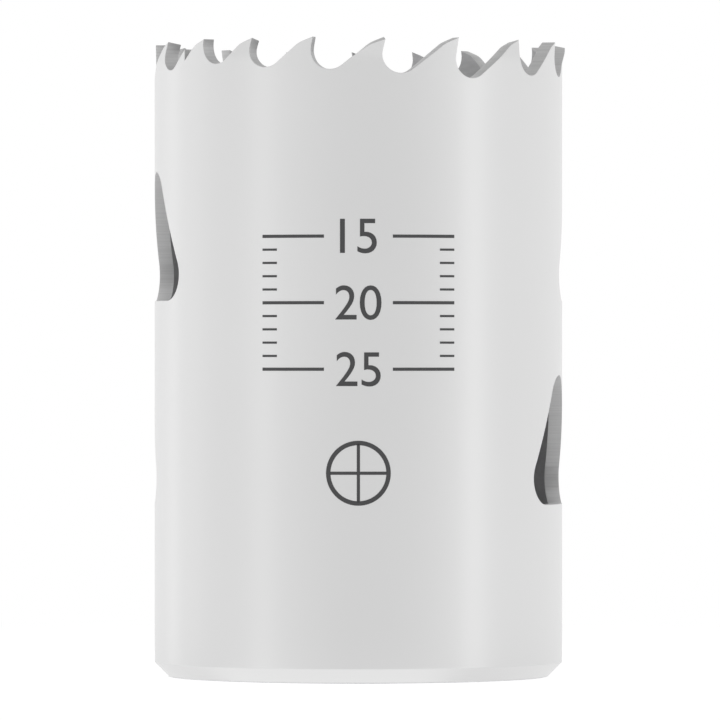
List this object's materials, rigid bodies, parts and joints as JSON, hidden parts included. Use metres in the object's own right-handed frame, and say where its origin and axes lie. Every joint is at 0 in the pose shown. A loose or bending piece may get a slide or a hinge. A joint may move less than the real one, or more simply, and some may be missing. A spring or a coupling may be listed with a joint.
{
  "type": "hole saw",
  "caption": "Cup-shaped hole saw with a toothed cutting edge, rounded triangular side slots and a thick base plate with a threaded arbor hole and drive-pin holes.",
  "frame": {"origin": "centre of the base plate's lower face, on the saw's axis", "axes": "+Z along the saw's axis, from the base plate to the tooth tips; -Y is the side that the picture shows"},
  "size_m": [0.0316, 0.0316, 0.0487],
  "materials": {
    "wall_paint": "satin light grey paint over rolled strip steel, with bare milled slot walls",
    "edge_steel": "light grey paint on the faces, bare milled steel on the cut faces of the teeth",
    "plate_steel": "turned steel, bare in the holes and the thread"
  },
  "bodies": {
    "root": {"cup_wall": "wall_paint", "cutting_edge": "edge_steel", "base_plate": "plate_steel"}
  },
  "joints": []
}
